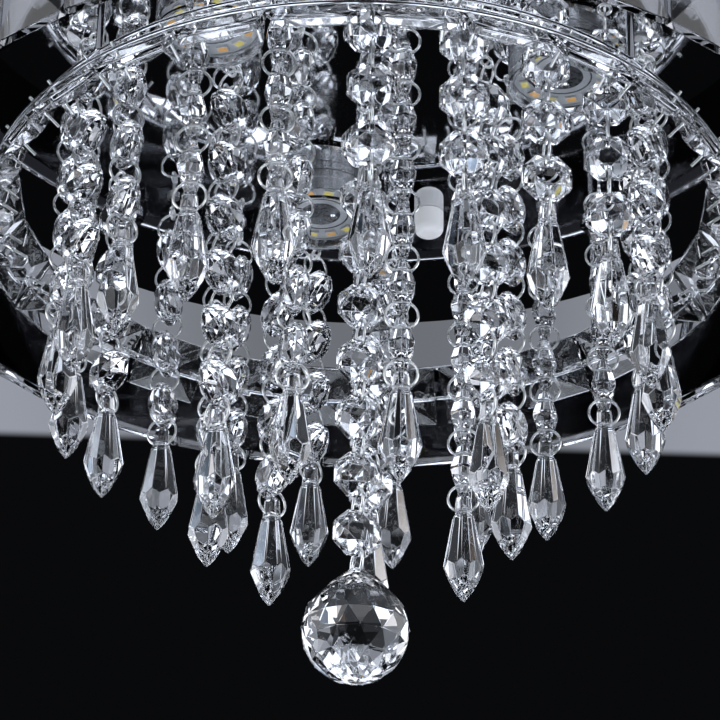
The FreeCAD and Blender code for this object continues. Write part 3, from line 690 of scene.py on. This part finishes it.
def ring_seat(half_thickness):
    """How far the middle of a hole stands above the lowest point of its ring, for glass of that thickness."""
    rise = RING_RADIUS - math.sqrt(RING_RADIUS ** 2 - half_thickness ** 2)
    return rise + RING_WIRE + RING_GAP - BEAD_HOLE


def octagon_seat():
    share = (BEAD_PITCH / 2 - OCTAGON_TABLE / 2) / (OCTAGON_WIDTH / 2 - OCTAGON_TABLE / 2)
    return ring_seat(OCTAGON_THICKNESS / 2 + (OCTAGON_GIRDLE - OCTAGON_THICKNESS) / 2 * share)


def spindle_seat():
    share = BEAD_PITCH / SPINDLE_LENGTH
    return ring_seat((SPINDLE_WIDTH + (SPINDLE_TIP - SPINDLE_WIDTH) * share) / 2)


# Glass that hangs on a ring: its shape, its seat on the ring, and its upper hole above its middle.
Hung = namedtuple("Hung", "shape seat hole")
OCTAGON = Hung(octagon_bead(), octagon_seat(), BEAD_PITCH / 2)
SPINDLE = Hung(spindle_bead(), spindle_seat(), BEAD_PITCH / 2)
DROP = Hung(drop(), ring_seat(DROP_NECK_DEPTH / 2), 0.0)
BALL = Hung(ball(), ring_seat(BALL_NECK_RADIUS), BALL_HOLE_HEIGHT)

PIVOTS = {joint["child"]: joint["pos_m"] for joint in frame["joints"]}
RING_LEAN = 2.0
CUT_PLACES = (60, 120)
SEED = 7
chance = random.Random(SEED)


def strand(body, bead, beads, turn, end):
    """Glass and rings of one strand, hung from its joint's pivot."""
    pivot = Vector(PIVOTS[body]) / MM
    stand = Matrix.Translation(pivot) @ Matrix.Rotation(math.radians(turn), 4, "Z")
    glass, rings, tail = Heap(), Heap(), Heap()
    top = 0.0
    for hung in [bead] * beads + [end]:
        lean = Matrix.Rotation(math.radians(chance.uniform(-RING_LEAN, RING_LEAN)), 4, "Z")
        ring = jump_ring(math.radians(chance.choice((-1, 1)) * chance.uniform(*CUT_PLACES)))
        rings.put(ring, stand @ Matrix.Translation((0, 0, top - RING_RADIUS)) @ lean)
        hole = top - 2 * RING_RADIUS + hung.seat
        place = stand @ Matrix.Translation((0, 0, hole - hung.hole))
        (tail if hung is BALL else glass).put(hung.shape, place)
        top = hole - BEAD_PITCH + hung.seat
    piece_from(body + "_glass", glass, CRYSTAL, body, body)
    piece_from(body + "_rings", rings, WIRE, body, body)
    if end is BALL:
        piece_from("faceted_ball", tail, CRYSTAL, body, "crystal_ball")


for name, spindles, turns, beads in (
    ("outer", OUTER_SPINDLES, OUTER_TURNS, OUTER_BEADS),
    ("middle", MIDDLE_SPINDLES, MIDDLE_TURNS, MIDDLE_BEADS),
):
    for index, turn in enumerate(turns):
        bead = SPINDLE if index in spindles else OCTAGON
        strand("%s_strand_%02d" % (name, index + 1), bead, beads, turn, DROP)
strand("centre_strand", OCTAGON, CENTRE_BEADS, CENTRE_TURN, BALL)


# Rings of glass blocks.

def glass_block(length, height, depth, cut_depth):
    """A block with its back on the XY plane and a low pyramid on its face towards +Z."""
    levels = ((1.0, 0.0), (1.0, depth - cut_depth), (BLOCK_TABLE, depth))
    rings = [rectangle(share * length, share * height, level) for share, level in levels]
    return eased(stone(stacked(rings)), BLOCK_EDGE)


def inner_blocks():
    length = 2 * INNER_RADIUS * math.tan(math.pi / INNER_COUNT) - BLOCK_GAP
    block = glass_block(length, INNER_BLOCK_HEIGHT, INNER_BLOCK_DEPTH, INNER_CUT_DEPTH)
    holes = [(Vector((side * (length / 2 - PIN_INSET), 0, 0)), PIN_HOLE) for side in (-1, 1)]
    block = drilled(block, holes, ALONG_Z)
    tilt = math.radians(INNER_TILT)
    half = INNER_BLOCK_HEIGHT / 2
    middle = Vector((0, -INNER_RADIUS - half * math.sin(tilt), -INNER_DROP - half * math.cos(tilt)))
    slope = (Matrix.Translation(middle) @ Matrix.Rotation(math.radians(-90) - tilt, 4, "X")
             @ Matrix.Translation((0, 0, -INNER_BLOCK_DEPTH)))
    heap = Heap()
    for index in range(INNER_COUNT):
        heap.put(block, Matrix.Rotation(2 * math.pi * (index + 0.5) / INNER_COUNT, 4, "Z") @ slope)
    piece_from("inner_ring_glass", heap, CRYSTAL, "fixture", "inner_ring_crystals")


def outer_blocks():
    length = 2 * OUTER_BACK * math.tan(math.pi / OUTER_COUNT) - BLOCK_GAP
    block = glass_block(length, OUTER_BLOCK_HEIGHT, OUTER_BLOCK_DEPTH, OUTER_CUT_DEPTH)
    middle = Vector((0, -OUTER_BACK, OUTER_BLOCK_HEIGHT / 2 - OUTER_BOTTOM - OUTER_BLOCK_HANG))
    front = Matrix.Translation(middle) @ Matrix.Rotation(math.radians(90), 4, "X")
    heap = Heap()
    for index in range(OUTER_COUNT):
        heap.put(block, Matrix.Rotation(2 * math.pi * index / OUTER_COUNT, 4, "Z") @ front)
    piece_from("outer_ring_glass", heap, CRYSTAL, "fixture", "outer_ring_crystals")


inner_blocks()
outer_blocks()


# LED boards, drawn about their middle with the lit side down.

TURNED_SIDES = 48
PAD_RADIUS = 6.4
PAD_THICKNESS = 0.08
TRACK_RADIUS = 8.6
TRACK_WIDTH = 0.5
SCREW_PLACE = 4.0
SCREW_RADIUS = 1.5
SCREW_HEIGHT = 0.9
SCREW_SIDES = 20
SCREW_CROWN = 0.6
WELL_INSET = 0.35
WELL_DEPTH = 0.12
FILLING_BACK, FILLING_FACE = 1.5, 0.5  # from the package's face, in depths of its well


def turned_about_z(outline, sides=TURNED_SIDES):
    """A closed shape turned from radius and height points, with flat ends."""
    return stone(stacked([ring_points(sides, radius, height) for radius, height in outline]))


def flat_ring(inside, outside, top, bottom):
    outline = ((inside, top), (outside, top), (outside, bottom), (inside, bottom))
    rings = [ring_points(TURNED_SIDES, radius, height) for radius, height in outline]
    facets = []
    for upper, lower in zip(rings, rings[1:] + rings[:1]):
        facets.extend(walls(upper, lower))
    return stone(facets)


def chip_shapes():
    """A white package with a well in its lit face, and the phosphor in the well."""
    well = (CHIP_LENGTH - 2 * WELL_INSET, CHIP_WIDTH - 2 * WELL_INSET)
    package = [rectangle(CHIP_LENGTH, CHIP_WIDTH, 0.0), rectangle(CHIP_LENGTH, CHIP_WIDTH, -CHIP_HEIGHT),
               rectangle(*well, -CHIP_HEIGHT), rectangle(*well, -CHIP_HEIGHT + WELL_DEPTH)]
    filling = [rectangle(*well, -CHIP_HEIGHT + share * WELL_DEPTH) for share in (FILLING_BACK, FILLING_FACE)]
    return stone(stacked(package)), stone(stacked(filling))


def led_boards():
    solid = nodes["led_boards"]
    low = min((solid.matrix_world @ vertex.co).z for vertex in solid.data.vertices) / MM
    disc = eased(turned_about_z(((BOARD_RADIUS, BOARD_THICKNESS), (BOARD_RADIUS, 0.0))), DISC_EDGE)
    pad = turned_about_z(((PAD_RADIUS, 0.0), (PAD_RADIUS, -PAD_THICKNESS)))
    track = flat_ring(TRACK_RADIUS, TRACK_RADIUS + TRACK_WIDTH, 0.0, -PAD_THICKNESS)
    screw = turned_about_z(((SCREW_RADIUS, 0.0), (SCREW_RADIUS, -SCREW_HEIGHT / 2),
                            (SCREW_RADIUS * SCREW_CROWN, -SCREW_HEIGHT)), SCREW_SIDES)
    package, filling = chip_shapes()
    boards, prints, screws = Heap(), Heap(), Heap()
    packages, fillings = (Heap(), Heap()), (Heap(), Heap())
    for spot in range(LED_COUNT):
        turn = math.radians(LED_ANGLE + 360.0 * spot / LED_COUNT)
        place = Matrix.Rotation(turn, 4, "Z") @ Matrix.Translation((0, -LED_CIRCLE, low))
        boards.put(disc, place)
        prints.put(pad, place)
        prints.put(track, place)
        for side in (-1, 1):
            screws.put(screw, place @ Matrix.Translation((side * SCREW_PLACE, 0, -PAD_THICKNESS)))
        for index in range(2 * CHIP_PAIRS):
            stand = (place @ Matrix.Rotation(math.pi * index / CHIP_PAIRS, 4, "Z")
                     @ Matrix.Translation((0, -CHIP_CIRCLE, 0)))
            packages[index % 2].put(package, stand)
            fillings[index % 2].put(filling, stand)
    piece_from("board_discs", boards, BOARD, "fixture", "led_boards")
    piece_from("board_print", prints, PAD, "fixture", "led_boards")
    piece_from("board_screws", screws, CHROME, "fixture", "led_boards")
    for index, (tone, material) in enumerate((("cool", COOL), ("warm", WARM))):
        node = "led_chips_" + tone
        piece_from(tone + "_packages", packages[index], PACKAGE, "fixture", node)
        piece_from(tone + "_phosphor", fillings[index], material, "fixture", node)


led_boards()


# Stage, in metres: a grey ceiling board with a round opening over the pan, and a plain floor far below.

BOARD_FRONT, BOARD_BACK, BOARD_SIDE = -0.9, 0.2805, 0.9
BOARD_SKEW = 0.027
BOARD_FADE = 0.008
BOARD_LIFT = 0.0004
OPENING_SIDES = 96
OPENING_LAP = 1.5
FLOOR_REACH, FLOOR_LEVEL = 6.0, -2.4
BOARD_SHADED, BOARD_GREY = rgb(0.15, 0.16, 0.18), rgb(0.30, 0.32, 0.37)
BOARD_LIT = rgb(1.8, 1.83, 1.9)
SHADED_STRIP = (0.02, 0.14)
LIT_SIDES, LIT_FRONT = (0.2, 0.42), (-0.22, -0.4)
LIT_FRONT_SHARE = 0.8
STUDIO_DARK = grey(0.003)
FLOOR_PALE, FLOOR_SEEN = grey(0.8), rgb(0.0028, 0.003, 0.0032)
TINY = 1e-6
BACKWARDS = 0.05  # a direction less backward than this meets a side of the board first


def glowing(tree, colour):
    return tree.add("Emission", None, {"Color": colour, "Strength": 1.0})


def ceiling_paint(tree):
    """Grey board, lit at its sides and front out of sight of the camera, and fading to dark at its far edge.

    From above it is clear.
    """
    x, y, _ = tree.axes(tree.place())
    aside = x.math("ABSOLUTE")
    # Painted shade: the board's emitted grey is darker in a strip along its middle than at its sides.
    tone = tree.mixed(tree.span(aside, *SHADED_STRIP, 0.0, 1.0, smooth=True), BOARD_SHADED, BOARD_GREY)
    at_sides = tree.span(aside, *LIT_SIDES, 0.0, 1.0, smooth=True)
    lit = at_sides.math("MAXIMUM", tree.span(y, *LIT_FRONT, 0.0, LIT_FRONT_SHARE, smooth=True))
    tone = tree.mixed(lit * (1.0 - tree.ray("Is Camera Ray")), tone, BOARD_LIT)
    edge = tree.span(y - x * BOARD_SKEW, BOARD_BACK - BOARD_FADE, BOARD_BACK, 1.0, 0.0, smooth=True)
    shine = glowing(tree, tree.mixed(edge, STUDIO_DARK, tone))
    above = tree.add("NewGeometry", output="Backfacing")
    return tree.add("MixShader", None, {0: above, 1: shine, 2: tree.add("BsdfTransparent")})


def floor_paint(tree):
    """Pale floor that lights the lamp, dark to the camera, and clear to mirrors and glass."""
    pale = tree.add("BsdfDiffuse", None, {"Color": FLOOR_PALE})
    seen = tree.add("MixShader", None, {0: tree.ray("Is Camera Ray"), 1: pale, 2: glowing(tree, FLOOR_SEEN)})
    through = tree.ray("Is Glossy Ray").math("MAXIMUM", tree.ray("Is Transmission Ray"))
    return tree.add("MixShader", None, {0: through, 1: seen, 2: tree.add("BsdfTransparent")})


def reach_to_edge(direction):
    """How far the board goes from the lamp's axis in a direction."""
    reaches = []
    if abs(direction.x) > TINY:
        reaches.append(BOARD_SIDE / abs(direction.x))
    if direction.y > BACKWARDS:
        reaches.append(BOARD_BACK / (direction.y - BOARD_SKEW * direction.x))
    if direction.y < -TINY:
        reaches.append(BOARD_FRONT / direction.y)
    return min(reaches)


def stage_piece(name, mesh, paint, lift=0.0):
    mesh.materials.append(finish_named(paint.__name__, paint))
    piece = bpy.data.objects.new(name, mesh)
    piece.location.z = lift
    bpy.context.scene.collection.objects.link(piece)


def board_with_opening():
    corners, faces = [], []
    for index in range(OPENING_SIDES):
        turn = 2 * math.pi * index / OPENING_SIDES
        direction = Vector((math.sin(turn), -math.cos(turn), 0))
        corners.append(direction * (PAN_RADIUS - OPENING_LAP) * MM)
        corners.append(direction * reach_to_edge(direction))
        after = (index + 1) % OPENING_SIDES
        faces.append([2 * index, 2 * after, 2 * after + 1, 2 * index + 1])
    mesh = bpy.data.meshes.new("ceiling_board")
    mesh.from_pydata([tuple(corner) for corner in corners], [], faces)
    mesh.update()
    if mesh.polygons[0].normal.z > 0:
        mesh.flip_normals()
    stage_piece("ceiling_board", mesh, ceiling_paint, BOARD_LIFT)


def studio_floor():
    mesh = bpy.data.meshes.new("studio_floor")
    corners = [tuple(corner) for corner in rectangle(2 * FLOOR_REACH, 2 * FLOOR_REACH, FLOOR_LEVEL)]
    mesh.from_pydata(corners, [], [[0, 1, 2, 3]])
    stage_piece("studio_floor", mesh, floor_paint)


board_with_opening()
studio_floor()


# Light: a studio with soft boxes all round and an even fill. It is dark where the camera looks, where the pan
# mirrors the camera's view, and round the camera. Mirrors see the boxes without the fill, so the pan stays
# black, and glass sees little of it. The boxes' red, green and blue are shifted a little against each other,
# which gives the coloured flecks of cut crystal.

SOFT_BOXES = (
    # azimuth and elevation of the middle, half widths, strength; degrees, azimuth from -Y to +X
    (-92, 4, 34, 20, 2.7),
    (94, 4, 34, 20, 2.6),
    (-42, 0, 9, 13, 2.7),
    (44, 0, 9, 13, 2.6),
    (-156, 4, 9, 12, 1.5),
    (158, 4, 9, 12, 1.4),
    (-46, -66, 34, 22, 2.7),
    (46, -65, 32, 22, 2.6),
    (-132, -66, 34, 22, 2.5),
    (134, -65, 32, 22, 2.4),
)
BOX_EDGE = 4.0
FRINGE = 0.12
STUDIO_GREY = 0.015
BACKDROP = 0.003
GLASS_FILL, MATT_FILL = 0.025, 0.9
COOL_LIGHT = rgb(0.93, 1.0, 1.13)
DARK_SHARE = 0.95
DARK_CONES = ((0.0, 0.868, 0.496), (0.0, 0.868, -0.496), (0.0, -0.868, -0.496))
DARK_INSIDE, DARK_OUTSIDE = math.cos(math.radians(11)), math.cos(math.radians(21))


def boxes_light(tree, azimuth, elevation, shift):
    """Light of all the soft boxes, each shifted sideways and half as far upwards."""
    def within(angle, middle, half):
        aside = (angle - middle).math("ABSOLUTE")
        return tree.span(aside, half - BOX_EDGE, half, 1.0, 0.0, smooth=True)

    level = STUDIO_GREY
    for turn, rise, half_turn, half_rise, strength in SOFT_BOXES:
        mask = within(azimuth, turn + shift, half_turn) * within(elevation, rise + shift / 2, half_rise)
        level = mask * strength + level
    return level


def studio_world(tree):
    place = tree.add("TexCoord", output="Generated")
    x, y, z = tree.axes(place)
    azimuth = x.math("ARCTAN2", y * -1.0).math("DEGREES")
    elevation = z.math("ARCSINE").math("DEGREES")
    channels = [boxes_light(tree, azimuth, elevation, shift) for shift in (FRINGE, 0.0, -FRINGE)]
    colour = tree.add("CombineColor", None, dict(zip(("Red", "Green", "Blue"), channels)))
    through = tree.ray("Is Transmission Ray")
    mirrored = tree.ray("Is Glossy Ray") * (1.0 - through)
    level = 1.0 - tree.ray("Is Camera Ray")
    darkness = mirrored * (1.0 - DARK_SHARE) + DARK_SHARE
    for axis in DARK_CONES:
        along = tree.add("VectorMath", {"operation": "DOT_PRODUCT"}, {0: place, 1: axis}, output="Value")
        level = level * (1.0 - darkness * tree.span(along, DARK_OUTSIDE, DARK_INSIDE, 0.0, 1.0, smooth=True))
    cooled = tree.mixed(1.0, colour, COOL_LIGHT, kind="MULTIPLY")
    boxes = tree.add("Background", None, {"Color": cooled, "Strength": level})
    amount = (1.0 - mirrored) * (through * (GLASS_FILL - MATT_FILL) + MATT_FILL)
    fill = tree.add("Background", None, {"Color": COOL_LIGHT, "Strength": level * amount + BACKDROP})
    return tree.add("AddShader", None, {0: boxes, 1: fill})


world = bpy.data.worlds.new("dark_studio")
world.use_nodes = True
bpy.context.scene.world = world
world_tree = Tree(world.node_tree)
world_tree.surface(studio_world(world_tree), world=True)


# Camera, fitted to the photograph.

CAMERA_PLACE = Vector((0.0, -0.8748, -0.6212))
CAMERA_RISE = math.radians(29.76)
CAMERA_ROLL = math.radians(0.97)
CAMERA_LENS = 171.35
CAMERA_SENSOR = 36.0
CAMERA_CLIP = 0.01

camera_data = bpy.data.cameras.new("photo_camera")
camera_data.sensor_width = CAMERA_SENSOR
camera_data.lens = CAMERA_LENS
camera_data.clip_start = CAMERA_CLIP
camera = bpy.data.objects.new("photo_camera", camera_data)
forward = Vector((0.0, math.cos(CAMERA_RISE), math.sin(CAMERA_RISE)))
level_right = Vector((1.0, 0.0, 0.0))
level_up = level_right.cross(forward)
right = level_right * math.cos(CAMERA_ROLL) + level_up * math.sin(CAMERA_ROLL)
up = level_up * math.cos(CAMERA_ROLL) - level_right * math.sin(CAMERA_ROLL)
turn = Matrix((right, up, -forward)).transposed()
camera.matrix_world = Matrix.Translation(CAMERA_PLACE) @ turn.to_4x4()
bpy.context.scene.collection.objects.link(camera)
bpy.context.scene.camera = camera

bpy.context.scene.view_settings.view_transform = "Standard"
